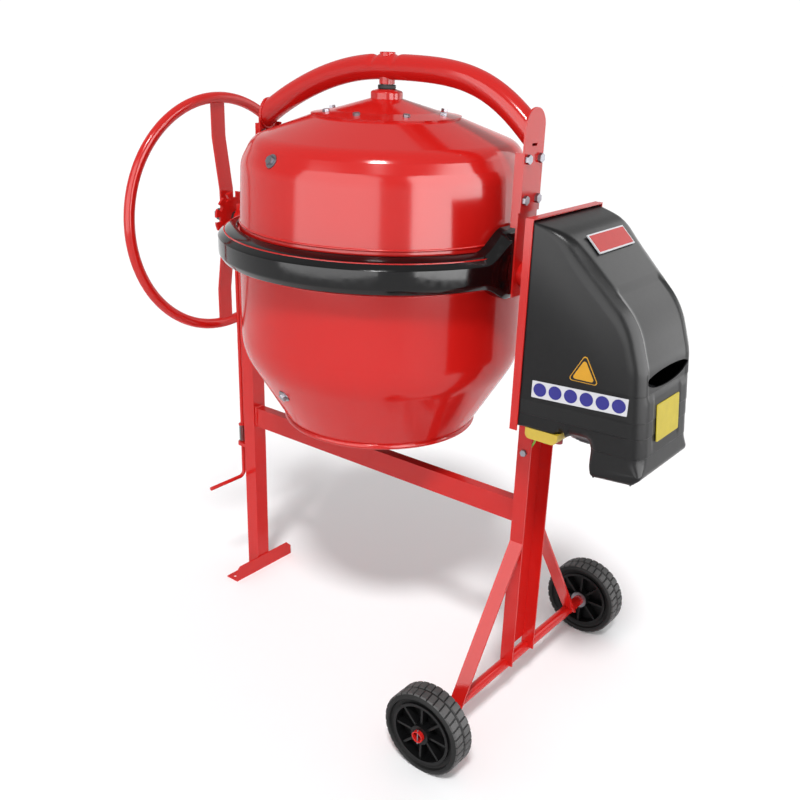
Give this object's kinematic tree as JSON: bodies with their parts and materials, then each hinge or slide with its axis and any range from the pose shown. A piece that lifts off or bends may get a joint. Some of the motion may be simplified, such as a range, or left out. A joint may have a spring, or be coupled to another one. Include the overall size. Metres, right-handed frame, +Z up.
{
  "type": "concrete mixer",
  "caption": "Tip-up electric drum mixer on a two-wheeled stand, with a tilting yoke and handwheel, crown gear drive, motor housing and mixing blades.",
  "frame": {"origin": "floor level, at the centre of the machine's floor plan", "axes": "+Z up; the tilt axis and pinion shaft lie along X with the handwheel at -X and the motor housing at +X; the wheel axle lies along Y"},
  "size_m": [1.2287, 0.732, 1.354],
  "materials": {
    "alloy": "die cast",
    "black_guard": "glossy black",
    "black_plastic": "moulded",
    "black_rubber": "matt",
    "black_shell": "grained black plastic",
    "bright_steel": "zinc plated",
    "cast_iron": "as cast, greased teeth",
    "copper_winding": "varnished copper and laminations",
    "dark_steel": "oiled steel",
    "green_plastic": "moulded",
    "motor_grey": "satin",
    "red_paint": "gloss red paint",
    "red_plastic": "moulded",
    "tyre_rubber": "moulded tread",
    "wire_insulation": "green with a yellow stripe",
    "yellow_plastic": "moulded"
  },
  "bodies": {
    "stand": {"left_post": "red_paint", "foot_angle": "red_paint", "cross_beam": "red_paint", "right_channel": "red_paint", "axle_braces": "red_paint", "axle_tube": "red_paint", "axle_pins_and_collars": "bright_steel", "channel_bolts": "bright_steel", "right_bearing_housing": "red_paint", "back_plate": "red_paint", "motor_housing": "black_shell", "housing_screws": "bright_steel", "motor_can": "motor_grey", "motor_stator": "copper_winding", "motor_end_caps": "alloy", "motor_bracket": "dark_steel", "motor_bolts": "bright_steel", "drive_belt": "black_rubber", "switch_bezel": "yellow_plastic", "switch_body": "black_shell", "earth_lead": "wire_insulation", "lock_rod_guides": "red_paint"},
    "yoke": {"arch_tube": "red_paint", "arch_brackets": "red_paint", "bearing_bracket_left": "red_paint", "bearing_bracket_right": "red_paint", "yoke_fasteners": "bright_steel", "left_trunnion": "dark_steel", "right_trunnion_tube": "red_paint", "trunnion_bearings": "bright_steel", "locking_disc": "red_paint", "handwheel_rim": "red_paint", "handwheel_spoke": "red_paint", "gear_guard": "black_guard", "pinion_cover": "black_guard", "drum_spindle": "dark_steel", "spindle_seal": "black_rubber"},
    "drum": {"drum_lower": "red_paint", "drum_upper": "red_paint", "reinforcing_plate": "red_paint", "drum_hub": "red_paint", "hub_bearings": "bright_steel", "drum_bolts": "bright_steel", "crown_gear": "cast_iron", "paddle_1": "red_paint", "paddle_2": "red_paint"},
    "pinion": {"pinion_shaft": "dark_steel", "drive_pinion": "cast_iron", "big_pulley": "black_guard"},
    "rotor": {"motor_rotor": "dark_steel", "motor_pulley": "dark_steel"},
    "wheel_front": {"wheel_rim_front": "black_plastic", "tyre_front": "tyre_rubber"},
    "wheel_back": {"wheel_rim_back": "black_plastic", "tyre_back": "tyre_rubber"},
    "lock": {"lock_rod": "red_paint", "lock_spring": "dark_steel"},
    "start_button": {"start_button": "green_plastic"},
    "stop_button": {"stop_button": "red_plastic"}
  },
  "joints": [
    {"name": "yoke_tilt", "type": "hinge", "parent": "stand", "child": "yoke", "pos_m": [0, 0, 0.96], "axis": [1, 0, 0], "continuous": true},
    {"name": "drum_spin", "type": "hinge", "parent": "yoke", "child": "drum", "pos_m": [-0.0819, 0, 0.96], "axis": [0, 0, 1], "continuous": true},
    {"name": "pinion_spin", "type": "hinge", "parent": "yoke", "child": "pinion", "pos_m": [0.3, 0, 0.96], "axis": [1, 0, 0], "continuous": true},
    {"name": "motor_spin", "type": "hinge", "parent": "stand", "child": "rotor", "pos_m": [0.5, 0, 0.726], "axis": [1, 0, 0], "continuous": true},
    {"name": "wheel_front_spin", "type": "hinge", "parent": "stand", "child": "wheel_front", "pos_m": [0.3291, -0.329, 0.091], "axis": [0, 1, 0], "continuous": true},
    {"name": "wheel_back_spin", "type": "hinge", "parent": "stand", "child": "wheel_back", "pos_m": [0.3291, 0.329, 0.091], "axis": [0, 1, 0], "continuous": true},
    {"name": "lock_slide", "type": "slide", "parent": "stand", "child": "lock", "axis": [0, 0, 1], "range_m": [-0.008, 0.013], "stiffness_N_per_m": 600, "springref_m": 0.013, "deforming": ["lock_spring"]},
    {"name": "start_press", "type": "slide", "parent": "stand", "child": "start_button", "axis": [0, 0, 1], "range_m": [0, 0.003], "stiffness_N_per_m": 800, "springref_m": -0.002},
    {"name": "stop_press", "type": "slide", "parent": "stand", "child": "stop_button", "axis": [0, 0, 1], "range_m": [0, 0.003], "stiffness_N_per_m": 800, "springref_m": -0.002}
  ],
  "couplings": [
    {"joint": "pinion_spin", "follows": "drum_spin", "ratio": -12},
    {"joint": "motor_spin", "follows": "drum_spin", "ratio": -105.6}
  ]
}
